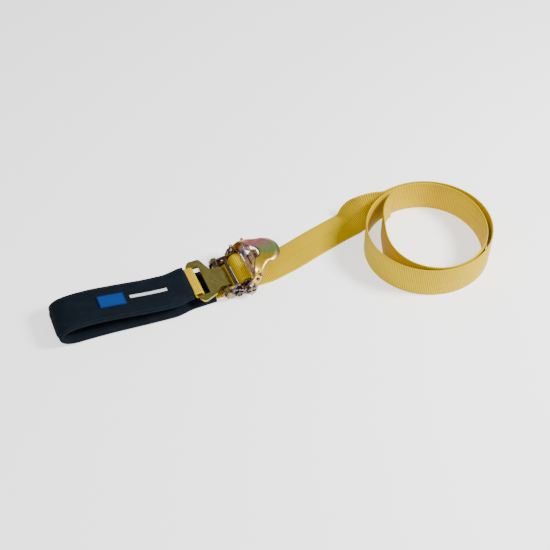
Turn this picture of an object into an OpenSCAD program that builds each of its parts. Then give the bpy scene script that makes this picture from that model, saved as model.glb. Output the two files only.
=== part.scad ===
// Ratchet tie down: a steel ratchet with a sleeved webbing loop, a snap-on hook plate and a long webbing strap.
// Millimetres. +X runs along the ratchet from the hook bolt to the strap, +Y across it, +Z up.
// The origin is the middle of the base web's underside.

/* [Webbing] */
// Width of the webbing
web_w = 50; // [40:1:50]
// Thickness of the webbing
web_t = 2.2; // [1.8:0.1:2.4]
// Width of the protective sleeve over the loop
sleeve_w = 60; // [56:1:66]
// Mean radius of the strap's loose coil
coil_r = 90.5; // [75:0.5:100]

/* [Ratchet] */
// Thickness of the frame's and handle's sheet steel
sheet_t = 2.5; // [2:0.1:2.8]
// Radius of the spindle
spindle_r = 7; // [6.5:0.1:7]
// Outer radius of the strap wound on the spindle
winding_r = 11.5; // [10:0.1:11.8]
// Number of teeth on each ratchet wheel
wheel_teeth = 12; // [8:1:14]
// Rise of the handle's arms above the level
arm_angle = 53; // [50:1:56]
// Half the width of the handle's grip
grip_r = 25; // [22:0.5:27]

/* [Hidden] */
$fn = 64;

// --- Places along the ratchet, in X and Z
hook_bolt_at = [-28.5, 12];
anchor_at = [-14.2, 5.9];
spindle_at = [1, 16];
frame_in = 27;                          // half the width between the frame's sides
frame_out = frame_in + sheet_t;
fit_gap = 0.08;                         // radial clearance of a running fit
wheel_in = 30;
wheel_t = 4;
wheel_tip_r = 13.5;
wheel_root_r = 10.4;
arm_in = 34.5;                          // half the width between the handle's arms
arm_out = arm_in + sheet_t;
bolt_r = 4;
spacer_r = 6;
anchor_r = 3;
pawl_t = 4;
pawl_nose = wheel_tip_r + 0.4;          // the pawls stand just clear of the teeth's tips
grip_at = [33.5, 46];                   // centre of the grip's round end
grip_left = 20;
hook_plate_t = 3;
hook_gap = 0.5;
plate_z = hook_bolt_at[1] + spacer_r + hook_gap;
bar_at = [-68.5, plate_z + hook_plate_t / 2];   // the hook plate's webbing bar
bar_half = 3.2;
eye_gap = 0.6;

// --- Helpers
// A point at a radius and an angle
function polar(r, a) = [r * cos(a), r * sin(a)];

// An arc of points round a centre
function arc(c, r, a0, a1, n) = [for (i = [0:n]) c + polar(r, a0 + (a1 - a0) * i / n)];

// A polygon's outline with each corner rounded to its own radius
function rounded(points, radii, n = 8) = [
    for (i = [0:len(points) - 1])
        let (
            p = points[i],
            a = points[(i + len(points) - 1) % len(points)] - p,
            b = points[(i + 1) % len(points)] - p,
            u = a / norm(a),
            v = b / norm(b),
            half = acos(max(-1, min(1, u * v))) / 2,
            back = radii[i] / tan(half),
            c = p + (u + v) / norm(u + v) * radii[i] / sin(half),
            s = p + u * back - c,
            e = p + v * back - c,
            a0 = atan2(s[1], s[0]),
            turn = atan2(s[0] * e[1] - s[1] * e[0], s * e)
        )
        for (k = [0:n]) c + polar(radii[i], a0 + turn * k / n)
];

// A point on a Catmull-Rom curve through four points
function between(p, t) =
    0.5 * (2 * p[1] + (p[2] - p[0]) * t + (2 * p[0] - 5 * p[1] + 4 * p[2] - p[3]) * t * t
        + (3 * p[1] - p[0] - 3 * p[2] + p[3]) * t * t * t);

// A smooth curve through points, with n steps between each two
function smooth(points, n) = [
    for (i = [0:len(points) - 2])
        for (k = [0:(i == len(points) - 2 ? n : n - 1)])
            between([
                points[max(i - 1, 0)], points[i], points[i + 1], points[min(i + 2, len(points) - 1)]
            ], k / n)
];

function ease(t) = let (c = max(0, min(1, t))) c * c * (3 - 2 * c);

// The unit direction of a path at its point i
function heading(path, i) =
    let (d = path[min(i + 1, len(path) - 1)] - path[max(i - 1, 0)]) d / norm(d);

// A path moved sideways in its own plane
function beside(path, d) = [
    for (i = [0:len(path) - 1]) let (h = heading(path, i)) path[i] + d * [-h[1], h[0]]
];

// Solid swept through rings of equal length
module swept(rings) {
    m = len(rings[0]);
    n = len(rings);
    polyhedron(
        points = [for (r = rings) each r],
        faces = concat(
            [[for (j = [0:m - 1]) j]],
            [[for (j = [m - 1:-1:0]) (n - 1) * m + j]],
            [for (i = [0:n - 2]) for (j = [0:m - 1])
                each [
                    [i * m + j, (i + 1) * m + j, (i + 1) * m + (j + 1) % m],
                    [i * m + j, (i + 1) * m + (j + 1) % m, i * m + (j + 1) % m]
                ]]
        ),
        convexity = 10
    );
}

// A shape in the XZ plane, extruded from y0 to y1
module across(y0, y1) {
    translate([0, y1, 0]) rotate([90, 0, 0]) linear_extrude(y1 - y0) children();
}

// The same shape on both sides, between two distances from the middle
module both_sides(y0, y1) {
    across(y0, y1) children();
    across(-y1, -y0) children();
}

// A cylinder across the ratchet at a place in X and Z
module rod(at, r, y0, y1) {
    translate([at[0], y1, at[1]]) rotate([90, 0, 0]) cylinder(r = r, h = y1 - y0);
}

// A tapered bar with round ends, in two dimensions
module link(a, ra, b, rb) {
    d = norm(b - a);
    tilt = atan2(b[1] - a[1], b[0] - a[0]);
    side = acos((ra - rb) / d);
    translate(a) circle(ra);
    translate(b) circle(rb);
    polygon([
        a + polar(ra, tilt + side), a + polar(ra, tilt - side),
        b + polar(rb, tilt - side), b + polar(rb, tilt + side)
    ]);
}

// What follows is drawn along the handle's arm: x from the spindle outwards, y up from the arm
module on_arm() {
    translate(spindle_at) rotate(arm_angle) children();
}

// --- Frame and its bolts
frame_end_r = [9, 9.6];
foot = [-31, 9];
base_web = [-5, 5];
lock_slot = [-18.9, -11.4];

module frame_side() {
    difference() {
        union() {
            link(hook_bolt_at, frame_end_r[0], spindle_at, frame_end_r[1]);
            polygon(rounded([[foot[0], 0], [foot[1], 0], [foot[1] + 3, 8], [foot[0] - 3, 8]], [3, 3, 1, 1]));
        }
        translate(hook_bolt_at) circle(bolt_r + fit_gap);
        translate(anchor_at) circle(anchor_r + fit_gap);
        translate(spindle_at) circle(spindle_r + fit_gap);
        translate([lock_slot[0], spindle_at[1] - pawl_t / 2 - 0.3])
            square([lock_slot[1] - lock_slot[0], pawl_t + 0.6]);
    }
}

module frame() {
    color("#b9a765") {
        both_sides(frame_in, frame_out) frame_side();
        across(-frame_in, frame_in) translate([base_web[0], 0])
            square([base_web[1] - base_web[0], sheet_t]);
    }
}

bolt_end = 36;
module hook_bolt() {
    color("#c9c6b4") {
        rod(hook_bolt_at, bolt_r, -bolt_end, frame_out + 1.6);
        translate([hook_bolt_at[0], frame_out + 6.4, hook_bolt_at[1]])
            rotate([90, 0, 0]) cylinder(r = 7, h = 4.8, $fn = 6);
    }
}

module hook_bolt_nut() {
    color("#c9c6b4") difference() {
        translate([hook_bolt_at[0], -frame_out - 1.6, hook_bolt_at[1]])
            rotate([90, 0, 0]) cylinder(r = 7, h = 4.6, $fn = 6);
        rod(hook_bolt_at, bolt_r, -bolt_end - 1, -frame_out);
    }
}

module hook_bolt_washers() {
    color("#c9c6b4") for (y = [frame_out, -frame_out - 1.5]) difference() {
        rod(hook_bolt_at, 8, y, y + 1.5);
        rod(hook_bolt_at, bolt_r, y - 1, y + 3);
    }
}

module hook_bolt_spacer() {
    color("#c9c6b4") difference() {
        rod(hook_bolt_at, spacer_r, -frame_in + 0.1, frame_in - 0.1);
        rod(hook_bolt_at, bolt_r + fit_gap, -frame_in - 1, frame_in + 1);
    }
}

module anchor_bolt() {
    color("#c9c6b4") {
        rod(anchor_at, anchor_r, -frame_out - 2, frame_out + 1);
        translate([anchor_at[0], frame_out + 3.4, anchor_at[1]])
            rotate([90, 0, 0]) cylinder(r = 5.2, h = 3.4, $fn = 6);
    }
}

module anchor_bolt_nut() {
    color("#c9c6b4") difference() {
        translate([anchor_at[0], -frame_out, anchor_at[1]])
            rotate([90, 0, 0]) cylinder(r = 5.2, h = 3.6, $fn = 6);
        rod(anchor_at, anchor_r, -frame_out - 5, -frame_out + 1);
    }
}

// --- Spindle
spindle_end = 42;
spindle_slot = 3;
pin_y = 40.4;
pin_r = 1.1;

module spindle_half(up) {
    color("#cfcab8") difference() {
        rod(spindle_at, spindle_r, -spindle_end, spindle_end);
        translate([spindle_at[0], 0, spindle_at[1] - up * (spindle_r + 1 - spindle_slot / 2)])
            cube([4 * spindle_r, 2 * spindle_end + 2, 2 * (spindle_r + 1)], center = true);
        for (y = [-pin_y, pin_y]) translate([spindle_at[0], y, 0])
            cylinder(r = pin_r, h = 4 * spindle_at[1]);
    }
}

module spindle_half_upper() { spindle_half(1); }
module spindle_half_lower() { spindle_half(-1); }

// Wheel of saw teeth: each tooth has a steep face and a long back
module ratchet_wheel(side) {
    step = 360 / wheel_teeth;
    y0 = side > 0 ? wheel_in : -wheel_in - wheel_t;
    color("#d8d3bd") difference() {
        across(y0, y0 + wheel_t) translate(spindle_at) {
            circle(wheel_root_r);
            for (i = [0:wheel_teeth - 1]) rotate(i * step) polygon([
                polar(wheel_root_r - 1, 0), polar(wheel_tip_r, 0),
                polar(wheel_tip_r, step * 0.22), polar(wheel_root_r - 1, step * 0.8)
            ]);
        }
        rod(spindle_at, spindle_r, y0 - 1, y0 + wheel_t + 1);
    }
}

module ratchet_wheel_far() { ratchet_wheel(1); }
module ratchet_wheel_near() { ratchet_wheel(-1); }

module spindle_washers() {
    color("#c9c6b4") for (y = [arm_out + 0.3, -arm_out - 1.5]) difference() {
        rod(spindle_at, 9.5, y, y + 1.2);
        rod(spindle_at, spindle_r, y - 1, y + 3);
    }
}

// A split pin through each end of the spindle, with its legs' loop on top
module spindle_pins() {
    color("#a8a698") for (y = [-pin_y, pin_y]) {
        translate([spindle_at[0], y, spindle_at[1] - spindle_r - 2.5])
            cylinder(r = pin_r - 0.1, h = 2 * spindle_r + 5, $fn = 24);
        translate([spindle_at[0], y, spindle_at[1] + spindle_r + 4])
            rotate([90, 0, 0]) rotate_extrude($fn = 32) translate([2, 0]) circle(0.9, $fn = 16);
    }
}

// --- Handle: two arms that lean in towards a wide spoon-shaped grip
arm_r = 9;
arm_end = 24;
arm_half = 5.5;
pawl_slot = [16.2, 25.2];
ear_at = 26.6;
spring_y = 20;                          // the springs pass through holes in the handle's ears
spring_r = 1.6;
lean_x = [18.8, 28];                      // an arm leans in between these x

module arm_profile() {
    difference() {
        on_arm() {
            link([0, 0], arm_r, [arm_end, 0], arm_half);
            translate([arm_end, -arm_half]) square([5, 2 * arm_half]);
        }
        translate(spindle_at) circle(spindle_r + fit_gap);
        on_arm() translate([pawl_slot[0], -pawl_t / 2 - 0.3])
            square([pawl_slot[1] - pawl_slot[0], pawl_t + 0.6]);
    }
}

// The stretch where an arm leans in from its straight part to the grip
module arm_lean(side) {
    root = spindle_at + polar(arm_end, arm_angle);
    intersection() {
        across(-arm_out - 1, arm_out + 1) link(root, arm_half, [lean_x[1] - 2, grip_at[1] - 1.8], 3);
        linear_extrude(2 * grip_at[1]) scale([1, side]) polygon([
            [lean_x[0] - 0.6, arm_in], [lean_x[0], arm_in], [lean_x[1], grip_r - sheet_t],
            [lean_x[1], grip_r], [lean_x[0] + 1, arm_out], [lean_x[0] - 0.6, arm_out]
        ]);
    }
}

module handle() {
    color("#cdb45a") {
        both_sides(arm_in, arm_out) arm_profile();
        arm_lean(1);
        arm_lean(-1);
        translate([0, 0, grip_at[1] - sheet_t / 2]) linear_extrude(sheet_t) difference() {
            union() {
                translate([grip_at[0], 0]) circle(grip_r);
                translate([grip_left, -grip_r + 0.4]) square([grip_at[0] - grip_left, 2 * grip_r - 0.8]);
            }
            link([4, 0], 18, [15, 0], 13);
        }
        for (s = [-1, 1]) difference() {
            across(s > 0 ? 13 : -arm_in - 0.5, s > 0 ? arm_in + 0.5 : -13)
                on_arm() translate([ear_at, -4.5]) square([sheet_t, 9]);
            translate([spindle_at[0], s * spring_y, spindle_at[1]]) rotate([0, 90 - arm_angle, 0])
                cylinder(r = spring_r + 1, h = 2 * ear_at);
        }
    }
}

// Domed rivets that close the ears onto the arms
module handle_rivets() {
    color("#c9c6b4") for (s = [-1, 1])
        translate([spindle_at[0], s * arm_out, spindle_at[1]])
            rotate([0, -arm_angle, 0]) translate([arm_end + 2.5, 0, 0])
                rotate([-90 * s, 0, 0]) cylinder(r1 = 2.6, r2 = 1.8, h = 1.6);
}

// --- Pawls. Both slide away from the wheels
finger_half = 9;

module drive_pawl() {
    color("#b39a6a") {
        across(-frame_in + 0.5, frame_in - 0.5) on_arm()
            translate([pawl_nose + 1.2, -pawl_t / 2]) square([20.2 - pawl_nose, pawl_t]);
        both_sides(frame_in - 1, wheel_in + wheel_t - 0.2) on_arm()
            translate([pawl_nose, -pawl_t / 2]) square([22.6 - pawl_nose, pawl_t]);
        both_sides(wheel_in + wheel_t - 0.4, arm_out + 1.6) on_arm()
            translate([pawl_slot[0] + 0.4, -pawl_t / 2]) square([4, pawl_t]);
        across(-finger_half, finger_half) on_arm() polygon(rounded(
            [[21, -2], [31.6, -2], [33, -7.5], [35.4, -6.8], [33.2, 0.4], [21, 0.4]],
            [0.3, 1, 0.6, 0.6, 2.4, 0.3]
        ));
    }
}

// Rings of a helical wire along an axis in the XZ plane
module coil_spring(from, to, y, r, wire_r, turns) {
    steps = 14;
    sides = 6;
    axis = (to - from) / norm(to - from);
    up = [-axis[1], axis[0]];
    n = turns * steps;
    swept([for (i = [0:n])
        let (
            a = 360 * i / steps,
            c = from + axis * norm(to - from) * i / n
        )
        [for (j = [0:sides - 1])
            let (
                b = 360 * j / sides,
                rr = r + wire_r * cos(b),
                off = c + axis * wire_r * sin(b) + up * rr * cos(a)
            ) [off[0], y + rr * sin(a), off[1]]]
    ]);
}

module drive_pawl_springs() {
    on = [cos(arm_angle), sin(arm_angle)];
    color("#8f8f8a") for (y = [-spring_y, spring_y])
        coil_spring(spindle_at + on * 21.9, spindle_at + on * 29.5, y, spring_r, 0.35, 6);
}

lock_tail = -17.6;
module lock_pawl() {
    z0 = spindle_at[1] - pawl_t / 2;
    nose = spindle_at[0] - pawl_nose;
    color("#5c6470") {
        across(-frame_in + 0.5, frame_in - 0.5)
            translate([lock_tail + 1.8, z0]) square([nose - 1 - lock_tail - 1.8, pawl_t]);
        both_sides(frame_in - 1, wheel_in + wheel_t - 0.2)
            translate([lock_tail + 2, z0]) square([nose - lock_tail - 2, pawl_t]);
    }
}

// Small springs between the hook bolt's ends and the lock pawl
module lock_pawl_springs() {
    color("#8f8f8a") for (y = [-31.9, 31.9])
        coil_spring([-20.9, spindle_at[1]], [-17.2, spindle_at[1]], y, 1.2, 0.3, 4);
}

// --- Hook plate: a slotted plate with a curled hook, narrow enough to enter the frame
slot_half = web_w / 2 + 1;
slot_x = [bar_at[0] + bar_half, -54.5];
hook_y = [-22, 14];
curl_end = -4;

module hook_plate() {
    c = hook_bolt_at;
    r_in = spacer_r + hook_gap;
    color("#b5ab62") {
        translate([0, 0, plate_z]) linear_extrude(hook_plate_t) difference() {
            polygon(rounded(
                [
                    [bar_at[0] - bar_half, -30], [-66, -39], [-46, -31], [-37, hook_y[0]],
                    [c[0], hook_y[0]], [c[0], hook_y[1]], [-40, hook_y[1]], [-44, 24],
                    [-49, 39], [-66, 39], [bar_at[0] - bar_half, 31]
                ],
                [3, 5, 6, 4, 0.1, 0.1, 5, 5, 5, 5, 3]
            ));
            translate([slot_x[0], -slot_half]) square([slot_x[1] - slot_x[0], 2 * slot_half]);
        }
        across(hook_y[0], hook_y[1]) polygon(concat(
            arc(c, r_in + hook_plate_t, 90, curl_end, 20),
            arc(c, r_in, curl_end, 90, 20)
        ));
    }
}

// --- Sleeved loop. The sleeve's line is in X and Z, and its y drifts with x
sleeve_half = 3.8;
sleeve_wall = 1.2;
loop_line = [
    [-47, 3.9], [-100, 3.9], [-160, 3.9], [-215, 3.9], [-247, 4.7], [-261, 9.5], [-266.5, 18],
    [-261, 26.5], [-247, 31], [-215, 31.4], [-175, 28.6], [-130, 25.2], [-79, 23.5]
];
loop_fine = smooth(loop_line, 4);
leg_off = 1.25;                         // the two legs of a sewn eye lie this far off the line

// How far the loop has drifted across at x
function drift(x) = 9.5 * ease((-90 - x) / 150) - 4.5 * ease((-78 - x) / 30);

// Rings of a flat section, from half width and two offsets, along a line in X and Z
function flat_rings(line, half, low, high) = [
    for (i = [0:len(line) - 1])
        let (
            h = heading(line, i),
            up = [-h[1], h[0]],
            a = line[i] + low * up,
            b = line[i] + high * up,
            y = drift(line[i][0])
        )
        [[a[0], y - half, a[1]], [a[0], y + half, a[1]], [b[0], y + half, b[1]], [b[0], y - half, b[1]]]
];

// One band: sewn eye on the anchor bolt, through the sleeve, and sewn eye on the plate's bar
module loop_webbing() {
    anchor_eye = anchor_r + eye_gap + web_t / 2;
    bar_eye = bar_half + 0.5 + web_t / 2;
    main = beside(loop_fine, leg_off);
    back = beside(loop_fine, -leg_off);
    last = len(loop_fine) - 1;
    line = concat(
        [[back[3][0], back[3][1]], [back[0][0], back[0][1]], [-38, 4.5], [-28, 4.3]],
        arc(anchor_at, anchor_eye, 118, -100, 16),
        [[-26, 1.5], [-36, 2]],
        main,
        arc(bar_at, bar_eye, 90, -90, 14),
        [[-72.5, bar_at[1] - bar_eye + 1.2], [-75.5, back[last][1] - 1.6], back[last], back[last - 2], back[last - 4]]
    );
    color("#f0c419") swept(flat_rings(line, web_w / 2, -web_t / 2, web_t / 2));
}

// A flattened tube of fabric round the webbing
module sleeve() {
    outer = flat_rings(loop_fine, sleeve_w / 2, -sleeve_half, sleeve_half);
    inner = flat_rings(loop_fine, sleeve_w / 2 - 3, -sleeve_half + sleeve_wall, sleeve_half - sleeve_wall);
    n = len(outer);
    color("#1c2126") polyhedron(
        points = concat([for (r = outer) each r], [for (r = inner) each r]),
        faces = concat(
            [for (i = [0:n - 2]) for (j = [0:3]) each [
                [i * 4 + j, (i + 1) * 4 + j, (i + 1) * 4 + (j + 1) % 4],
                [i * 4 + j, (i + 1) * 4 + (j + 1) % 4, i * 4 + (j + 1) % 4]
            ]],
            [for (i = [n:2 * n - 2]) for (j = [0:3]) each [
                [i * 4 + j, (i + 1) * 4 + (j + 1) % 4, (i + 1) * 4 + j],
                [i * 4 + j, i * 4 + (j + 1) % 4, (i + 1) * 4 + (j + 1) % 4]
            ]],
            [for (j = [0:3]) each [
                [j, (j + 1) % 4, 4 * n + (j + 1) % 4],
                [j, 4 * n + (j + 1) % 4, 4 * n + j]
            ]],
            [for (j = [0:3]) each [
                [4 * (n - 1) + (j + 1) % 4, 4 * (n - 1) + j, 4 * (2 * n - 1) + j],
                [4 * (n - 1) + (j + 1) % 4, 4 * (2 * n - 1) + j, 4 * (2 * n - 1) + (j + 1) % 4]
            ]]
        ),
        convexity = 10
    );
}

label_half = 11;
module sleeve_label() {
    part = [for (p = loop_fine) if (p[1] > 24 && p[0] > -215 && p[0] < -95) p];
    color("#1d4f9c") swept(flat_rings(part, label_half, sleeve_half + 0.05, sleeve_half + 0.9));
}

// --- Long strap
strap_z = web_t / 2 + 0.1;
coil_at = [270, -51];
coil_oval = -1;                        // how much longer the coil is along Y than along X, halved
strap_edge = [
    [6.5, -25], [22, -25.2], [42, -24.4], [60.8, -20.9], [87, -15.1], [123, -4.8], [156, 4],
    [180, 9.8], [197, 13.5], [214, 20.2], [232, 30.6], [250, 36.9], [coil_at[0], coil_at[1] + coil_r + coil_oval]
];
twist = [184, 246];                     // the strap turns from flat to upright between these x
outer_gap = 4;
tail_turn = 1.965;

// The coil's radius after some turns, measured clockwise from its far side
function coil_radius(turn) =
    let (
        a = 90 - 360 * turn,
        lag = turn < 1 ? outer_gap * ease((turn - 0.6) / 0.38) : outer_gap,
        right = turn < 1 ? 0 : 5 * ease(1 - abs(turn - 1.27) / 0.2),
        left = turn < 1 ? 0 : 22 * ease(1 - max(1.8 - turn, 1.5 * (turn - 1.8)) / 0.3),
        tail = outer_gap * ease((turn - 1.6) / 0.3)
    )
    coil_r - coil_oval * cos(2 * a) - lag - right - left - tail;

function coil_point(turn) = coil_at + polar(coil_radius(turn), 90 - 360 * turn);

// A ring of the strap whose lower edge is at e, heading along h and leaning up by the angle lean
function strap_ring(e, h, lean, z) =
    let (
        left = [-h[1], h[0]],
        wide = [left[0] * cos(lean), left[1] * cos(lean), sin(lean)] * web_w,
        thick = [-left[0] * sin(lean), -left[1] * sin(lean), cos(lean)] * web_t / 2,
        low = [e[0], e[1], z * cos(lean) + 0.1 * sin(lean)]
    )
    [low - thick, low + wide - thick, low + wide + thick, low + thick];

// The strap leaves the winding a little above the floor and settles onto it
module strap_run() {
    line = smooth(strap_edge, 5);
    color("#f0c419") swept([
        for (i = [0:len(line) - 1])
            let (x = line[i][0])
            strap_ring(
                line[i], heading(line, i), 90 * ease((x - twist[0]) / (twist[1] - twist[0])),
                strap_z + 1.9 * ease((44 - x) / 30)
            )
    ]);
}

module strap_coil() {
    steps = 104;
    line = [for (i = [0:steps]) coil_point(tail_turn * i / steps)];
    color("#f0c419") swept([
        for (i = [0:steps]) strap_ring(line[i], heading(line, i), 90, strap_z)
    ]);
}

module strap_winding() {
    color("#e8bb14") difference() {
        rod(spindle_at, winding_r, -web_w / 2, web_w / 2);
        rod(spindle_at, spindle_r, -web_w, web_w);
    }
}

frame();
hook_bolt();
hook_bolt_nut();
hook_bolt_spacer();
hook_bolt_washers();
anchor_bolt();
anchor_bolt_nut();
spindle_half_upper();
spindle_half_lower();
ratchet_wheel_far();
ratchet_wheel_near();
spindle_washers();
spindle_pins();
handle();
handle_rivets();
drive_pawl();
drive_pawl_springs();
lock_pawl();
lock_pawl_springs();
hook_plate();
loop_webbing();
sleeve();
sleeve_label();
strap_winding();
strap_run();
strap_coil();
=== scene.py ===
"""The looks of a ratchet tie-down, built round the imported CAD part.

Most of the metal is the CAD itself with bevelled edges and metal materials. The pressed handle with its
ears, the strap, its turns on the spindle, the loop, its sleeve and its label are made here, each in place
of the CAD nodes that finish_piece names. Lengths are in metres, in the part's own frame: X runs along the
ratchet towards the strap, and the part stands on z = 0.
"""

import math

import bpy
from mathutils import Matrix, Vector, noise


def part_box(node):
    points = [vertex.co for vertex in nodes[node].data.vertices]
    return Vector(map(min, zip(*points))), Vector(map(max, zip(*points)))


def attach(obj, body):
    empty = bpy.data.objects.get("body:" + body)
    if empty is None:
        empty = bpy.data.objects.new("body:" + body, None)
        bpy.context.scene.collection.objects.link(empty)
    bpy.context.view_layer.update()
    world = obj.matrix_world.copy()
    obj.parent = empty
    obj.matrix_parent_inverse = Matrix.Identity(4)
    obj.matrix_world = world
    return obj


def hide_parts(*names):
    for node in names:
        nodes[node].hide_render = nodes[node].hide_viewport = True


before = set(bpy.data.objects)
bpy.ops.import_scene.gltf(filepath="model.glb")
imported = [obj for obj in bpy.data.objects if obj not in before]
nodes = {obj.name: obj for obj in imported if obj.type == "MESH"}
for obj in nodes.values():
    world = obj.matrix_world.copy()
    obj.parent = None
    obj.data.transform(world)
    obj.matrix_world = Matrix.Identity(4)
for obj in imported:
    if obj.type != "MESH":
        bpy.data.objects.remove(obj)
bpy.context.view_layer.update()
MM = 0.001
FLOOR_GAP = 0.1 * MM                     # webbing and sleeve stay this far above 0, the floor as far below


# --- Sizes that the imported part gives


def middle(node):
    low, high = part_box(node)
    return (low + high) / 2


def size(node):
    low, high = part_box(node)
    return high - low


spindle = middle("spindle_half_upper")
spindle.z = middle("ratchet_wheel_near").z
anchor = middle("anchor_bolt_nut")
web_width = size("strap_winding").y
web_thickness = 2.2 * MM                 # as in part.scad
winding_radius = size("strap_winding").z / 2
spindle_radius = size("spindle_half_upper").x / 2


# --- Mesh helpers


def make_mesh(name, verts, faces, uvs=None):
    """A smooth mesh object. uvs holds one (along, across) pair for each vertex."""
    mesh = bpy.data.meshes.new(name)
    mesh.from_pydata(verts, [], faces)
    if uvs:
        layer = mesh.uv_layers.new(name="lay")
        for loop in mesh.loops:
            layer.data[loop.index].uv = uvs[loop.vertex_index]
    mesh.update()
    for polygon in mesh.polygons:
        polygon.use_smooth = True
    obj = bpy.data.objects.new(name, mesh)
    bpy.context.scene.collection.objects.link(obj)
    return obj


def loft(name, rings, uv_rings=None, closed=False):
    """A tube through rings of equal length, with a flat cap on each end unless it is closed on itself."""
    count = len(rings[0])
    verts = [p for ring in rings for p in ring]
    faces = []
    spans = len(rings) if closed else len(rings) - 1
    for i in range(spans):
        a, b = i * count, (i + 1) % len(rings) * count
        for j in range(count):
            k = (j + 1) % count
            faces.append((a + j, a + k, b + k, b + j))
    if not closed:
        faces.append(tuple(reversed(range(count))))
        faces.append(tuple(range(len(verts) - count, len(verts))))
    uvs = [uv for ring in uv_rings for uv in ring] if uv_rings else None
    return make_mesh(name, verts, faces, uvs)


def smoothstep(x):
    x = max(0.0, min(1.0, x))
    return x * x * (3 - 2 * x)


def curve_through(points, steps):
    """Catmull-Rom curve through 2-D or 3-D points, with steps pieces between each two."""
    points = [Vector(p) for p in points]
    line = []
    for i in range(len(points) - 1):
        p0, p1 = points[max(i - 1, 0)], points[i]
        p2, p3 = points[i + 1], points[min(i + 2, len(points) - 1)]
        for k in range(steps):
            t = k / steps
            line.append(
                0.5 * (2 * p1 + (p2 - p0) * t + (2 * p0 - 5 * p1 + 4 * p2 - p3) * t * t
                       + (3 * p1 - p0 - 3 * p2 + p3) * t ** 3)
            )
    return line + [points[-1]]


def even(line, step):
    """The same line with its points a step apart."""
    out, carried = [line[0]], 0.0
    for a, b in zip(line, line[1:]):
        length = (b - a).length
        while carried + length >= step:
            t = (step - carried) / length
            a = a.lerp(b, t)
            length = (b - a).length
            carried = 0.0
            out.append(a)
        carried += length
    return out


# Half a webbing's section: how far across it, and how much of its thickness it has there
SELVEDGE = [(0.0, 0.3), (0.012, 0.8), (0.04, 1.0), (0.2, 0.94), (0.35, 1.0), (0.5, 0.96)]
PROFILE = SELVEDGE + [(1 - t, h) for t, h in reversed(SELVEDGE[:-1])]


def ribbon(name, frames, width, thickness):
    """A band of webbing through frames of (low edge, unit direction across, unit normal)."""
    rings, uv_rings = [], []
    along = 0.0
    for i, (low, wide, normal) in enumerate(frames):
        if i:
            centre = low + wide * width / 2
            along += (centre - (frames[i - 1][0] + frames[i - 1][1] * width / 2)).length
        top = [low + wide * width * t + normal * h * thickness / 2 for t, h in PROFILE]
        under = [low + wide * width * t - normal * h * thickness / 2 for t, h in reversed(PROFILE)]
        rings.append(top + under)
        across = [t * width for t, _ in PROFILE]
        uv_rings.append([(along, v) for v in across + across[::-1]])
    obj = loft(name, rings, uv_rings)
    obj["length"] = along
    return obj


def section_frames(line, half_width, drift):
    """Frames for a band whose line lies in X and Z and whose middle drifts across with x."""
    frames = []
    for i, point in enumerate(line):
        ahead = line[min(i + 1, len(line) - 1)] - line[max(i - 1, 0)]
        ahead.normalize()
        normal = Vector((-ahead.y, 0, ahead.x))
        low = Vector((point.x, drift(point.x) - half_width, point.y))
        frames.append((low, Vector((0, 1, 0)), normal))
    return frames


def arc(centre, radius, start, end, steps):
    """Points of an arc in X and Z, with angles in degrees."""
    out = []
    for i in range(steps + 1):
        a = math.radians(start + (end - start) * i / steps)
        out.append(Vector((centre[0] + radius * math.cos(a), centre[1] + radius * math.sin(a))))
    return out


def bevel(obj, width, segments=2):
    modifier = obj.modifiers.new("edges", "BEVEL")
    modifier.width = width
    modifier.segments = segments
    modifier.limit_method = "ANGLE"
    modifier.angle_limit = math.radians(35)
    modifier.use_clamp_overlap = True


# --- Materials


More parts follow.
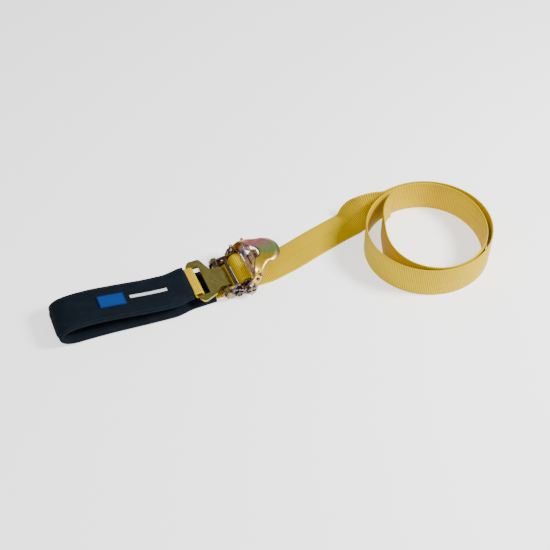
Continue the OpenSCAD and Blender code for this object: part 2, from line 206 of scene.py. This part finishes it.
class Shader:
    """A material's nodes, added one after another."""

    def __init__(self, name):
        self.material = bpy.data.materials.new(name)
        self.material.use_nodes = True
        self.tree = self.material.node_tree
        self.surface = self.tree.nodes["Principled BSDF"]

    def add(self, kind, **settings):
        node = self.tree.nodes.new("ShaderNode" + kind)
        for key, value in settings.items():
            setattr(node, key, value)
        return node

    def link(self, a, b):
        self.tree.links.new(a, b)

    def math(self, operation, a, b=None):
        node = self.add("Math", operation=operation)
        for socket, value in zip(node.inputs, (a, b)):
            if value is None:
                continue
            if isinstance(value, (int, float)):
                socket.default_value = value
            else:
                self.link(value, socket)
        return node.outputs[0]

    def noise(self, scale, detail=3.0, distortion=0.0, vector=None):
        node = self.add("TexNoise")
        node.inputs["Scale"].default_value = scale
        node.inputs["Detail"].default_value = detail
        node.inputs["Distortion"].default_value = distortion
        self.link(vector or self.add("TexCoord").outputs["Object"], node.inputs["Vector"])
        return node.outputs["Fac"]

    def ramp(self, value, stops):
        node = self.add("ValToRGB")
        ramp = node.color_ramp
        while len(ramp.elements) < len(stops):
            ramp.elements.new(0.5)
        for element, (position, colour) in zip(ramp.elements, stops):
            element.position = position
            element.color = (*colour, 1)
        self.link(value, node.inputs[0])
        return node.outputs["Color"]

    def mix(self, amount, a, b, blend="MIX"):
        node = self.add("Mix", data_type="RGBA", blend_type=blend)
        for socket, value in zip((node.inputs[0], node.inputs[6], node.inputs[7]), (amount, a, b)):
            if isinstance(value, (int, float)):
                socket.default_value = value
            elif isinstance(value, tuple):
                socket.default_value = (*value, 1)
            else:
                self.link(value, socket)
        return node.outputs[2]

    def colour(self, value):
        self.link(value, self.surface.inputs["Base Color"])

    def roughness(self, value, low, high):
        node = self.add("MapRange")
        node.inputs["To Min"].default_value = low
        node.inputs["To Max"].default_value = high
        self.link(value, node.inputs["Value"])
        self.link(node.outputs[0], self.surface.inputs["Roughness"])

    def bump(self, value, strength, depth):
        node = self.add("Bump")
        node.inputs["Strength"].default_value = strength
        node.inputs["Distance"].default_value = depth
        self.link(value, node.inputs["Height"])
        self.link(node.outputs[0], self.surface.inputs["Normal"])

    def lay(self):
        """How far along and across its piece a point is: metres on fabric, shares on the handle."""
        split = self.add("SeparateXYZ")
        self.link(self.add("UVMap", uv_map="lay").outputs[0], split.inputs[0])
        return split.outputs["X"], split.outputs["Y"]

    def wave(self, value, pitch):
        """0 to 1 and back once for each pitch."""
        turns = self.math("MULTIPLY", value, 2 * math.pi / pitch)
        return self.math("ADD", self.math("MULTIPLY", self.math("SINE", turns), 0.5), 0.5)

    def near(self, value, place, half):
        """1 within half of a place, else 0."""
        gap = self.math("ABSOLUTE", self.math("SUBTRACT", value, place))
        return self.math("LESS_THAN", gap, half)


def plated(name, stops, patch, rough=(0.2, 0.42), worn=(0.5, 0.46, 0.38)):
    """Passivated zinc: soft patches of the colours in stops, fine grain and rubbed spots. The patches are
    interference colour, but navy and violet stops stand for painted dark reflection and painted shade.
    """
    s = Shader(name)
    s.surface.inputs["Metallic"].default_value = 1.0
    patches = s.noise(patch, 2.0, 1.2)
    film = s.ramp(patches, stops)
    streaks = s.noise(420, 4.0)
    shade = s.ramp(streaks, [(0.3, (0.8, 0.8, 0.8)), (0.7, (1, 1, 1))])
    film = s.mix(1.0, film, shade, "MULTIPLY")
    rubbed = s.ramp(s.noise(160, 5.0), [(0.62, (0, 0, 0)), (0.72, (1, 1, 1))])
    amount = s.math("MULTIPLY", rubbed, 0.35)
    s.colour(s.mix(amount, film, worn))
    s.roughness(s.noise(240, 4.0), *rough)
    s.bump(s.noise(900, 3.0), 0.15, 0.0002)
    return s.material


def pressed_zinc(name, bands, rim_shade_colour):
    """Passivated zinc whose colour runs round a pressed loop in bands, partly interference colour and
    partly painted shade and highlight along the arms, with painted shade on both rims.
    """
    s = Shader(name)
    s.surface.inputs["Metallic"].default_value = 1.0
    around, across = s.lay()
    drifted = s.math("ADD", around, s.math("MULTIPLY", s.math("SUBTRACT", s.noise(60, 2.0), 0.5), 0.16))
    # The bands hold interference colour and also painted shade and painted highlight along the arms
    film = s.ramp(drifted, bands)
    grain = s.ramp(s.noise(420, 4.0), [(0.3, (0.8, 0.8, 0.8)), (0.7, (1, 1, 1))])
    film = s.mix(1.0, film, grain, "MULTIPLY")
    # Painted shade on the strip's two rims: near the window's edge and near the outer edge, the colour is
    # mixed three quarters of the way to the rim colour
    rim = s.math("SUBTRACT", 1.0, s.near(across, 0.47, 0.4))
    s.colour(s.mix(s.math("MULTIPLY", rim, 0.75), film, rim_shade_colour))
    s.roughness(s.noise(240, 4.0), 0.28, 0.46)
    s.bump(s.noise(900, 3.0), 0.15, 0.0002)
    return s.material


def steel(name, colour, rough):
    """Plain steel with drawn lines and slight staining."""
    s = Shader(name)
    s.surface.inputs["Metallic"].default_value = 1.0
    stretch = s.add("Mapping")
    stretch.inputs["Scale"].default_value = (1, 0.12, 1)
    s.link(s.add("TexCoord").outputs["Object"], stretch.inputs["Vector"])
    lines = s.noise(1500, 2.0, vector=stretch.outputs[0])
    dark = tuple(c * 0.6 for c in colour)
    stain = s.ramp(s.noise(130, 4.0), [(0.35, dark), (0.65, colour)])
    s.colour(stain)
    s.roughness(lines, *rough)
    s.bump(lines, 0.12, 0.0001)
    return s.material


RIB_PITCH = 2.6 * MM
YARN_PITCH = 1.9 * MM
EDGE_LINE = 4.4 * MM                     # from each edge of the webbing to its darker line


def webbing(name, light, deep):
    """Woven webbing: ribs across it, yarns along it, painted shade in the weave's troughs, and darker
    lines by its edges and down its middle.
    """
    s = Shader(name)
    along, across = s.lay()
    ribs = s.wave(along, RIB_PITCH)
    yarns = s.wave(across, YARN_PITCH)
    weave = s.math("MULTIPLY", ribs, s.math("ADD", s.math("MULTIPLY", yarns, 0.5), 0.5))
    fuzz = s.noise(2600, 2.0)
    # Painted shade: the deep colour fills the weave's troughs and the light colour its crests
    base = s.ramp(s.math("ADD", s.math("MULTIPLY", weave, 0.75), s.math("MULTIPLY", fuzz, 0.25)),
                  [(0.1, deep), (0.65, light)])
    lines = s.math("ADD", s.near(across, EDGE_LINE, 0.35 * MM),
                   s.near(across, web_width - EDGE_LINE, 0.35 * MM))
    lines = s.math("ADD", lines, s.near(across, web_width / 2, 0.5 * MM))
    base = s.mix(s.math("MULTIPLY", lines, 0.35), base, deep)
    cloud = s.ramp(s.noise(24, 2.0), [(0.3, (0.93, 0.9, 0.86)), (0.7, (1, 1, 1))])
    s.colour(s.mix(1.0, base, cloud, "MULTIPLY"))
    s.surface.inputs["Specular IOR Level"].default_value = 0.06
    s.roughness(weave, 0.62, 0.42)
    s.bump(weave, 0.7, 0.0004)
    return s.material


STITCH_INSET = 3.2 * MM


def sleeve_fabric(name, width):
    """Tightly woven nylon with a row of stitches along each long edge."""
    s = Shader(name)
    along, across = s.lay()
    warp = s.wave(along, 1.0 * MM)
    weft = s.wave(across, 1.0 * MM)
    weave = s.math("ADD", s.math("MULTIPLY", warp, 0.5), s.math("MULTIPLY", weft, 0.5))
    base = s.ramp(weave, [(0.2, (0.002, 0.0035, 0.006)), (0.9, (0.008, 0.013, 0.02))])
    dust = s.ramp(s.noise(70, 5.0), [(0.45, (1, 1, 1)), (0.85, (1.6, 1.55, 1.5))])
    base = s.mix(1.0, base, dust, "MULTIPLY")
    row = s.math("ADD", s.near(across, STITCH_INSET, 0.45 * MM),
                 s.near(across, width - STITCH_INSET, 0.45 * MM))
    dash = s.math("GREATER_THAN", s.wave(along, 3.6 * MM), 0.28)
    stitch = s.math("MULTIPLY", row, dash)
    s.colour(s.mix(stitch, base, (0.018, 0.026, 0.036)))
    s.surface.inputs["Specular IOR Level"].default_value = 0.04
    s.roughness(s.noise(90, 4.0), 0.72, 0.9)
    height = s.math("ADD", s.math("MULTIPLY", weave, 0.25), s.math("MULTIPLY", stitch, 0.7))
    s.bump(height, 0.8, 0.0004)
    return s.material


LABEL_PANEL = 0.36                       # the share of the label's length that is blue
LABEL_BORDER = 1.6 * MM
BAR_INSET = 7 * MM                       # from each end of the dark part to the light bar
BAR_HALF = 2.6 * MM


def label_fabric(name, length, width):
    """Woven label: a blue panel with a darker border, then a plain light bar on dark cloth."""
    s = Shader(name)
    along, across = s.lay()
    split = length * LABEL_PANEL
    weave = s.math("MULTIPLY", s.wave(along, 0.7 * MM), s.wave(across, 0.7 * MM))
    blue = s.ramp(weave, [(0.0, (0.002, 0.03, 0.16)), (1.0, (0.004, 0.06, 0.26))])
    dark = s.ramp(weave, [(0.0, (0.002, 0.0035, 0.006)), (1.0, (0.008, 0.013, 0.02))])
    panel = s.math("LESS_THAN", along, split)
    cloth = s.mix(panel, dark, blue)
    inside = s.math("MULTIPLY", s.near(along, split / 2, split / 2 - LABEL_BORDER),
                    s.near(across, width / 2, width / 2 - LABEL_BORDER))
    border = s.math("MULTIPLY", panel, s.math("SUBTRACT", 1.0, inside))
    cloth = s.mix(s.math("MULTIPLY", border, 0.6), cloth, (0.001, 0.012, 0.07))
    bar_middle = (split + length) / 2
    bar = s.math("MULTIPLY", s.near(along, bar_middle, (length - split) / 2 - BAR_INSET),
                 s.near(across, width / 2, BAR_HALF))
    light = s.ramp(weave, [(0.0, (0.55, 0.56, 0.58)), (1.0, (0.85, 0.86, 0.88))])
    s.colour(s.mix(bar, cloth, light))
    s.surface.inputs["Specular IOR Level"].default_value = 0.08
    s.roughness(weave, 0.7, 0.5)
    height = s.math("ADD", s.math("MULTIPLY", weave, 0.5), s.math("MULTIPLY", bar, 0.5))
    s.bump(height, 0.5, 0.0003)
    return s.material


# Colours of the passivated zinc; violet and navy mostly stand for painted shade and painted dark
# reflection
GOLD = (0.62, 0.4, 0.05)
OLIVE = (0.3, 0.25, 0.06)
PINK = (0.68, 0.24, 0.22)
GREEN = (0.28, 0.52, 0.12)
ORANGE = (0.8, 0.38, 0.06)
VIOLET = (0.22, 0.12, 0.18)

# Navy is painted dark reflection on the drive pawl and wheels, and painted shade on the frame
NAVY_PAINTED_DARK = (0.045, 0.055, 0.09)

# Bands round the handle, from the near arm's pivot over the tip to the far arm's. The pink and green are
# interference colour. The violet at both ends is painted shade, and the bright yellow bands are painted
# highlight along the arms.
HANDLE_FILM_AND_LIGHT_BANDS = [
    (0.02, VIOLET), (0.12, ORANGE), (0.2, (0.6, 0.25, 0.12)), (0.28, (0.9, 0.6, 0.05)),
    (0.4, (0.75, 0.5, 0.04)), (0.48, GREEN), (0.54, (0.55, 0.42, 0.25)), (0.6, (0.75, 0.22, 0.3)),
    (0.7, (0.9, 0.55, 0.06)), (0.82, ORANGE), (0.92, VIOLET),
]
# The last colour is the painted shade on the handle's rims
zinc_handle = pressed_zinc("zinc_yellow_handle", HANDLE_FILM_AND_LIGHT_BANDS, (0.12, 0.07, 0.1))
# On the drive pawl and the ratchet wheels the navy and violet patches are painted dark reflection; the
# pink and olive are interference colour
zinc_bright = plated(
    "zinc_yellow_bright",
    [(0.36, NAVY_PAINTED_DARK), (0.45, VIOLET), (0.52, (0.4, 0.22, 0.14)), (0.6, OLIVE), (0.7, PINK)], 70,
)
zinc_olive = plated(
    "zinc_yellow_olive", [(0.3, OLIVE), (0.45, (0.4, 0.33, 0.09)), (0.55, OLIVE), (0.7, GOLD)], 26,
)
# On the frame and the ears the navy and violet patches are painted shade; the gold is the frame's own
# colour
zinc_frame = plated(
    "zinc_yellow_frame", [(0.36, NAVY_PAINTED_DARK), (0.44, VIOLET), (0.54, (0.34, 0.26, 0.08)), (0.68, GOLD)], 60,
)
zinc_dark = plated(
    "zinc_dark", [(0.4, (0.1, 0.07, 0.09)), (0.52, (0.2, 0.16, 0.08)), (0.68, (0.42, 0.36, 0.2))], 90,
)
dark_steel = steel("dark_steel", (0.13, 0.15, 0.19), (0.25, 0.45))
spring_steel = steel("spring_steel", (0.42, 0.42, 0.41), (0.2, 0.4))
# The second colour is painted shade in the weave's troughs and also the tone of the darker lines
yellow_web = webbing("webbing_yellow", (0.68, 0.5, 0.0), (0.36, 0.2, 0.0))

METALS = {
    zinc_bright: ["drive_pawl", "ratchet_wheel_far", "ratchet_wheel_near"],
    zinc_olive: ["hook_plate"],
    zinc_frame: ["frame"],
    zinc_dark: [
        "hook_bolt", "hook_bolt_nut", "hook_bolt_spacer", "hook_bolt_washers", "anchor_bolt",
        "anchor_bolt_nut", "spindle_half_upper", "spindle_half_lower", "spindle_washers",
        "handle_rivets",
    ],
    dark_steel: ["lock_pawl"],
    spring_steel: ["spindle_pins", "drive_pawl_springs", "lock_pawl_springs"],
}
THIN_WIRE = ("drive_pawl_springs", "lock_pawl_springs", "spindle_pins")
EDGE_WEAR = 0.45 * MM                    # how wide the CAD's sharp edges are bevelled
for material, names in METALS.items():
    for name in names:
        node = nodes[name]
        node.data.materials.clear()
        node.data.materials.append(material)
        if name not in THIN_WIRE:
            bevel(node, EDGE_WEAR)


def finish_piece(obj, body, material, slot, *replaced):
    """Gives a piece its material and the body it rides on, and hides the CAD nodes it stands for. The slot
    is not used.
    """
    obj.data.materials.append(material)
    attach(obj, body)
    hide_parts(*replaced)


# --- Handle: two arms that twist over into a wide, dished grip

SHEET = 2.5 * MM
ARM_ANGLE = math.radians(53)             # how steeply the arms rise from the spindle
LOBE = 9 * MM                            # half an arm's width at the spindle
ARM_LENGTH = 24 * MM
ARM_HALF = 6.5 * MM                      # half its width at ARM_LENGTH from the spindle
TIP_HALF = 0.6 * MM                      # half its width at its rounded end
handle_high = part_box("handle")[1]
arm_y = handle_high.y - SHEET / 2
grip_radius = 25 * MM
grip_z = handle_high.z - SHEET / 2
grip_x = handle_high.x - grip_radius
window_x = 14 * MM
window_radius = 13.5 * MM
along_arm = Vector((math.cos(ARM_ANGLE), 0, math.sin(ARM_ANGLE)))
above_arm = Vector((-math.sin(ARM_ANGLE), 0, math.cos(ARM_ANGLE)))


def arm_station(distance):
    """The inner and outer edge of the near arm at a distance from its pivot."""
    half = LOBE + (ARM_HALF - LOBE) * max(0, distance) / ARM_LENGTH
    if distance < 0:
        half = math.sqrt(max(LOBE ** 2 - distance ** 2, TIP_HALF ** 2))
    centre = spindle + along_arm * distance - Vector((0, arm_y, 0))
    return centre + above_arm * half, centre - above_arm * half


OUTER_LEAD = 1.12                        # the outer edge goes round faster than the window's edge


def grip_station(angle):
    """The inner and outer edge of the grip at an angle from its tip, in degrees."""
    outer = math.radians(angle * OUTER_LEAD)
    inner = math.radians(angle)
    return (
        Vector((window_x + window_radius * math.cos(inner), window_radius * math.sin(inner), grip_z)),
        Vector((grip_x + grip_radius * math.cos(outer), grip_radius * math.sin(outer), grip_z)),
    )


# Between arm and grip the strip twists over, so its edges are given as points in millimetres
TWIST_OVER = [
    ((9.2, -33, 39), (19.5, -35.2, 33)),
    ((10.5, -27, 43.5), (23.5, -32.5, 39.5)),
]
ARM_STOPS = (-9, -8.2, -6, -3, 0, 5, 11, 17)      # in millimetres from the pivot
GRIP_STOPS = (-78, -60, -40, -20)                 # in degrees from the tip
near_half = [arm_station(distance * MM) for distance in ARM_STOPS]
near_half += [(Vector(inner) * MM, Vector(outer) * MM) for inner, outer in TWIST_OVER]
near_half += [grip_station(angle) for angle in GRIP_STOPS]
flip = Vector((1, -1, 1))
far_half = [(inner * flip, outer * flip) for inner, outer in reversed(near_half)]
stations = near_half + [grip_station(0)] + far_half
inner_edge = curve_through([inner for inner, _ in stations], steps=6)
outer_edge = curve_through([outer for _, outer in stations], steps=6)

LIP = 2.6 * MM                           # how far the grip's outer edge turns down
LIP_STARTS = 0.72                        # how far across the strip the lip starts
DISH = 0.5 * MM                          # how deep the grip is dished
DISH_ENDS = 0.8                          # how far across the strip the dish ends
RIM_SHARE = 0.35                         # how much of its thickness the sheet has at its rims
GRIP_STARTS = 32 * MM                    # the height where lip and dish start,
GRIP_BLEND = 12 * MM                     # and how much higher they are full
STEPS_ACROSS = 14
handle_rings, handle_lay = [], []
for i, (inner, outer) in enumerate(zip(inner_edge, outer_edge)):
    a, b = max(i - 1, 0), min(i + 1, len(inner_edge) - 1)
    along = (inner_edge[b] + outer_edge[b]) - (inner_edge[a] + outer_edge[a])
    normal = (outer - inner).cross(along).normalized()
    on_grip = smoothstep(((inner.z + outer.z) / 2 - GRIP_STARTS) / GRIP_BLEND)
    faces = []
    for sign in (1, -1):
        row = []
        for k in range(STEPS_ACROSS + 1):
            t = k / STEPS_ACROSS
            from_rim = min(t, 1 - t) * (outer - inner).length
            half = SHEET / 2 * min(1, RIM_SHARE + from_rim / MM)
            lip = LIP * smoothstep((t - LIP_STARTS) / (1 - LIP_STARTS))
            drop = lip + DISH * math.sin(math.pi * min(t / DISH_ENDS, 1))
            row.append(inner.lerp(outer, t) + normal * (sign * half - drop * on_grip))
        faces.append(row)
    handle_rings.append(faces[0] + faces[1][::-1])
    across = [k / STEPS_ACROSS for k in range(STEPS_ACROSS + 1)]
    handle_lay.append([(i / len(inner_edge), v) for v in across + across[::-1]])
grip = loft("pressed_handle", handle_rings, handle_lay)
finish_piece(grip, "handle", zinc_handle, "zinc_yellow", "handle")

EAR_AT = 26.6 * MM                       # along the arm from the spindle
EAR_HALF = 4.5 * MM
EAR_OUTWARD = 14.8 * MM                  # from the spring to the ear's end in the arm
EAR_INWARD = 7 * MM                      # from the spring to the ear's free end
SPRING_Y = 20 * MM
SPRING_HOLE = 2.6 * MM


def ear(name, side):
    """A tab across the arm that one of the drive pawl's springs passes through."""
    rings = []
    steps = 40
    nearly_zero = 0.001
    for k in range(steps):
        angle = side * 2 * math.pi * k / steps
        wide, high = math.cos(angle), math.sin(angle)
        reach = (EAR_OUTWARD if wide > 0 else EAR_INWARD) / max(abs(wide), nearly_zero)
        reach = min(reach, EAR_HALF / max(abs(high), nearly_zero))
        ring = []
        for depth, r in ((0, SPRING_HOLE), (0, reach), (SHEET, reach), (SHEET, SPRING_HOLE)):
            y = Vector((0, side * (SPRING_Y + wide * r), 0))
            ring.append(spindle + along_arm * (EAR_AT + depth) + y + above_arm * high * r)
        rings.append(ring)
    piece = loft(name, rings, closed=True)
    for polygon in piece.data.polygons:
        polygon.use_smooth = False
    finish_piece(piece, "handle", zinc_frame, "zinc_yellow", "handle")


ear("ear_far", 1)
ear("ear_near", -1)


# --- Long strap: the flat run and the loose coil in one band

# The strap lies where part.scad has it, so these places and sizes are the same as there
coil_centre = Vector((270, -51)) * MM
COIL_OVAL = -1 * MM                      # added to the radius along Y and taken off it along X
COIL_RADIUS = 90.5 * MM
OUTER_GAP = 4 * MM                       # the second turn lies at least this far inside the first
RIGHT_BEND = 5 * MM                      # how far the loose second turn bends in on its right,
LEFT_BEND = 22 * MM                      # and on its left
RIGHT_AT = 1.27                          # the turns at which these bends are deepest
LEFT_AT = 1.8
TAIL_TURN = 1.965                        # how many turns there are


def coil_point(turn):
    """Where the coil is after some turns, measured clockwise from its far side."""
    angle = math.radians(90 - 360 * turn)
    lag = OUTER_GAP * (smoothstep((turn - 0.6) / 0.38) if turn < 1 else 1)
    right = 0 if turn < 1 else RIGHT_BEND * smoothstep(1 - abs(turn - RIGHT_AT) / 0.2)
    off_left = max(LEFT_AT - turn, (turn - LEFT_AT) * 1.5)
    left = 0 if turn < 1 else LEFT_BEND * smoothstep(1 - off_left / 0.3)
    tail = OUTER_GAP * smoothstep((turn - 1.6) / 0.3)
    radius = COIL_RADIUS - COIL_OVAL * math.cos(2 * angle) - lag - right - left - tail
    return coil_centre + radius * Vector((math.cos(angle), math.sin(angle)))


# The run's near edge, which is its low edge once it stands upright, in millimetres
RUN_EDGE = [
    (6.5, -25), (22, -25.2), (42, -24.4), (60.8, -20.9), (87, -15.1), (123, -4.8), (156, 4),
    (180, 9.8), (197, 13.5), (214, 20.2), (232, 30.6), (250, 36.9),
]
TWIST = (184 * MM, 246 * MM)             # the run turns from flat to upright between these x
STRAP_STEP = 3 * MM
RUN_END = 300 * MM                       # by this length along it the strap is past its quarter turn
COIL_STEPS = 260
LEAD_IN_RISE = 1.9 * MM                  # how far the run is lifted where it leaves the ratchet


def strap_frames():
    """Frames for the strap from the ratchet to the coil's free end."""
    run = [Vector(p) * MM for p in RUN_EDGE] + [coil_point(0)]
    coil = [coil_point(TAIL_TURN * i / COIL_STEPS) for i in range(1, COIL_STEPS + 1)]
    line = even(curve_through(run, steps=24) + coil, STRAP_STEP)
    frames = []
    for i, point in enumerate(line):
        ahead = (line[min(i + 1, len(line) - 1)] - line[max(i - 1, 0)]).normalized()
        left = Vector((-ahead.y, ahead.x, 0))
        on_run = i * STRAP_STEP < RUN_END
        lean = math.pi / 2
        if on_run:
            lean *= smoothstep((point.x - TWIST[0]) / (TWIST[1] - TWIST[0]))
        wide = left * math.cos(lean) + Vector((0, 0, math.sin(lean)))
        normal = -left * math.sin(lean) + Vector((0, 0, math.cos(lean)))
        height = (web_thickness / 2 + FLOOR_GAP) * math.cos(lean) + FLOOR_GAP * math.sin(lean)
        if on_run:
            height += LEAD_IN_RISE * smoothstep((44 * MM - point.x) / (30 * MM))
        frames.append((Vector((point.x, point.y, height)), wide, normal))
    return frames


strap = ribbon("strap", strap_frames(), web_width, web_thickness)
finish_piece(strap, "base", yellow_web, "webbing_yellow", "strap_run", "strap_coil")


# --- The strap's turns on the spindle

TURNS = 2
INNER_LIFT = 0.6                         # thicknesses from the spindle to the innermost turn's middle
WOUND_SHARE = 0.94                       # how much of its thickness the wound webbing keeps
winding_steps = TURNS * 48
winding_line = []
for i in range(winding_steps + 1):
    t = i / winding_steps
    angle = math.radians(-90 - 360 * TURNS * (1 - t))
    inner = spindle_radius + web_thickness * INNER_LIFT
    outer = winding_radius - web_thickness / 2
    radius = inner + (outer - inner) * t
    winding_line.append(Vector((
        spindle.x + radius * math.cos(angle), spindle.z + radius * math.sin(angle))))
winding = ribbon(
    "strap_turns", section_frames(winding_line, web_width / 2, lambda x: 0),
    web_width, web_thickness * WOUND_SHARE,
)
finish_piece(winding, "spindle", yellow_web, "webbing_yellow", "strap_winding")


# --- Sleeved loop

# The loop's middle line in X and Z, in millimetres: along the floor, round the far end and back
LOOP_LINE = [
    (-47, 3.9), (-100, 3.9), (-160, 3.9), (-215, 3.9), (-247, 4.7), (-261, 9.5), (-266.5, 18),
    (-261, 26.5), (-247, 31), (-215, 31.4), (-175, 28.6), (-130, 25.2), (-79, 23.5),
]
loop_line = even(curve_through([Vector(p) * MM for p in LOOP_LINE], steps=16), step=2.5 * MM)
LEG = 1.25 * MM                          # from the loop's middle line to each of its two layers


def drift(x):
    """How far the loop's middle is off the ratchet's, across it."""
    swing = 9.5 * MM * smoothstep((-90 * MM - x) / (150 * MM))
    return swing - 4.5 * MM * smoothstep((-78 * MM - x) / (30 * MM))


def beside(line, distance):
    """The same line moved sideways by a distance."""
    out = []
    for i, point in enumerate(line):
        ahead = (line[min(i + 1, len(line) - 1)] - line[max(i - 1, 0)]).normalized()
        out.append(point + distance * Vector((-ahead.y, ahead.x)))
    return out


def at(*points):
    return [Vector(p) * MM for p in points]


# The places round the bar and the anchor bolt are in millimetres, which at() and MM turn into metres
bar = Vector((-68.5, 20))
anchor_point = (anchor.x / MM, anchor.z / MM)
bar_eye = 3.2 + 0.5 + 1.1                # half the bar, a gap and half the webbing
anchor_eye = 3 + 0.6 + 1.1               # the bolt's radius, a gap and half the webbing
back_leg = beside(loop_line, -LEG)
# One band: a sewn tail, the eye on the bolt, the loop's outer layer, the eye on the bar, a sewn tail
loop_path = (
    [back_leg[10], back_leg[2]] + at((-38, 4.5), (-28, 4.3))
    + [p * MM for p in arc(anchor_point, anchor_eye, start=118, end=-100, steps=20)]
    + at((-26, 1.5), (-36, 2)) + beside(loop_line, LEG)
    + [p * MM for p in arc(bar, bar_eye, start=90, end=-90, steps=18)]
    + at((-72.5, bar.y - bar_eye + 1.2), (-75.5, back_leg[-1].y / MM - 1.6))
    + [back_leg[-1], back_leg[-5], back_leg[-14]]
)
loop_even = even(curve_through(loop_path, steps=3), step=1.5 * MM)
loop_frames = section_frames(loop_even, web_width / 2, drift)
loop_band = ribbon("loop_band", loop_frames, web_width, web_thickness)
finish_piece(loop_band, "base", yellow_web, "webbing_yellow", "loop_webbing")

sleeve_width = 60 * MM
SLEEVE_HALF = 3.8 * MM
WALL = 1.2 * MM
THINNEST = WALL * 0.4                    # the least that the skin lies off the sleeve's line
END_REACH = 4 * MM                       # how far the top of the upper end goes past the rest
EDGE_FULL = 0.48                         # how full the sleeve is at its edges and at the stitches
HEM_PUFF = 0.12                          # how much fuller it is between the two
PUFF_RISE = 9 * MM                       # how far inside the stitches it is full
RIPPLES = 38                             # for each metre along the sleeve


def puff(across):
    """How full the sleeve is at a place across it, with 1 in the middle."""
    from_edge = min(across, 1 - across) * sleeve_width
    if from_edge < STITCH_INSET:
        return EDGE_FULL + HEM_PUFF * math.sin(math.pi * from_edge / STITCH_INSET)
    return EDGE_FULL + (1 - EDGE_FULL) * smoothstep((from_edge - STITCH_INSET) / PUFF_RISE)


def sleeve_rings(half, inset, ripple):
    """Rings of the sleeve's skin, half a thickness from its line and an inset in from its edges."""
    steps = 24
    rings, uv_rings = [], []
    along = 0.0
    for i, (low, wide, normal) in enumerate(section_frames(loop_line, sleeve_width / 2, drift)):
        if i:
            along += (loop_line[i] - loop_line[i - 1]).length
        sides = []
        for sign in (1, -1):
            row = []
            for k in range(steps + 1):
                t = k / steps
                place = low + wide * (inset + (sleeve_width - 2 * inset) * t)
                rough = noise.noise(Vector((along * RIPPLES, t * 2.2, 7 * sign)))
                if sign > 0 and i == len(loop_line) - 1:
                    place = place + Vector((END_REACH, 0, 0))
                lift = half * puff(t) + ripple * rough * puff(t)
                point = place + normal * sign * max(lift, THINNEST)
                point.z = max(point.z, FLOOR_GAP)
                row.append(point)
            sides.append(row)
        rings.append(sides[0] + sides[1][::-1])
        width = [k / steps * sleeve_width for k in range(steps + 1)]
        uv_rings.append([(along, v) for v in width + width[::-1]])
    return rings, uv_rings


outer_rings, outer_uvs = sleeve_rings(half=SLEEVE_HALF + 0.3 * MM, inset=0, ripple=0.5 * MM)
inner_rings, inner_uvs = sleeve_rings(half=SLEEVE_HALF - WALL, inset=3.4 * MM, ripple=0)
sleeve = loft(
    "sleeve_cover", outer_rings + inner_rings[::-1], outer_uvs + inner_uvs[::-1], closed=True,
)
sleeve_material = sleeve_fabric("sleeve_black", sleeve_width)
finish_piece(sleeve, "base", sleeve_material, "sleeve_black", "sleeve")


# --- Label, sewn on the loop's upper leg

label_low, label_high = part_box("sleeve_label")
label_width = 22 * MM
LABEL_THICKNESS = 0.9 * MM
LABEL_LIFT = SLEEVE_HALF + 1.05 * MM     # from the loop's line to the label's middle
UPPER_LEG = 24 * MM                      # only the loop's upper leg and far end lie above this
all_frames = section_frames(loop_line, label_width / 2, drift)
upper = [
    (low + normal * LABEL_LIFT, wide, normal)
    for low, wide, normal in all_frames
    if low.z > UPPER_LEG and label_low.x < low.x < label_high.x
]
label = ribbon("cloth_label", upper, label_width, LABEL_THICKNESS)
label_material = label_fabric("label_blue", label["length"], label_width)
finish_piece(label, "base", label_material, "label_blue", "sleeve_label")


# --- Floor, light and camera


def plain(name, colour, rough):
    s = Shader(name)
    s.surface.inputs["Base Color"].default_value = (*colour, 1)
    s.surface.inputs["Roughness"].default_value = rough
    return s.material


FLOOR_HALF = 6                           # metres
floor_corners = [(FLOOR_HALF * x, FLOOR_HALF * y, 0) for x, y in ((-1, -1), (1, -1), (1, 1), (-1, 1))]
floor = make_mesh("floor", floor_corners, [(0, 1, 2, 3)])
floor.location.z = -FLOOR_GAP
floor_paint = plain("floor", (0.9, 0.9, 0.9), 0.8)
glow = floor_paint.node_tree.nodes["Principled BSDF"].inputs
glow["Emission Color"].default_value = (1, 1, 1, 1)
glow["Emission Strength"].default_value = 1.0
floor.data.materials.append(floor_paint)

LOOK_AT = Vector((47.4, -13.6, 0)) * MM
TURN = math.radians(23)
TILT = math.radians(48)
DISTANCE = 1.5
SENSOR = 36                              # millimetres, as Blender counts camera sizes
LENS_PER_SENSOR = 21 / 11                # the lens's length over the sensor's width
ahead = Vector((math.sin(TURN) * math.cos(TILT), math.cos(TURN) * math.cos(TILT), -math.sin(TILT)))
camera = bpy.data.objects.new("camera", bpy.data.cameras.new("camera"))
camera.location = LOOK_AT - DISTANCE * ahead
camera.rotation_euler = ahead.to_track_quat("-Z", "Y").to_euler()
camera.data.sensor_width = SENSOR
camera.data.lens = SENSOR * LENS_PER_SENSOR
camera.data.clip_start = 0.05
bpy.context.scene.collection.objects.link(camera)
bpy.context.scene.camera = camera


def softbox(name, place, width, power):
    light = bpy.data.objects.new(name, bpy.data.lights.new(name, "AREA"))
    light.data.size = width
    light.data.energy = power
    light.location = place
    light.rotation_euler = (LOOK_AT - Vector(place)).to_track_quat("-Z", "Y").to_euler()
    bpy.context.scene.collection.objects.link(light)


softbox("key", place=(1.15, -0.6, 1.1), width=0.4, power=56)
softbox("fill", place=(-0.7, -0.9, 1.3), width=1.0, power=14)
world = bpy.data.worlds.new("studio")
world.use_nodes = True
sky = world.node_tree.nodes["Background"].inputs
sky["Color"].default_value = (1, 1, 1, 1)
sky["Strength"].default_value = 0.5
bpy.context.scene.world = world
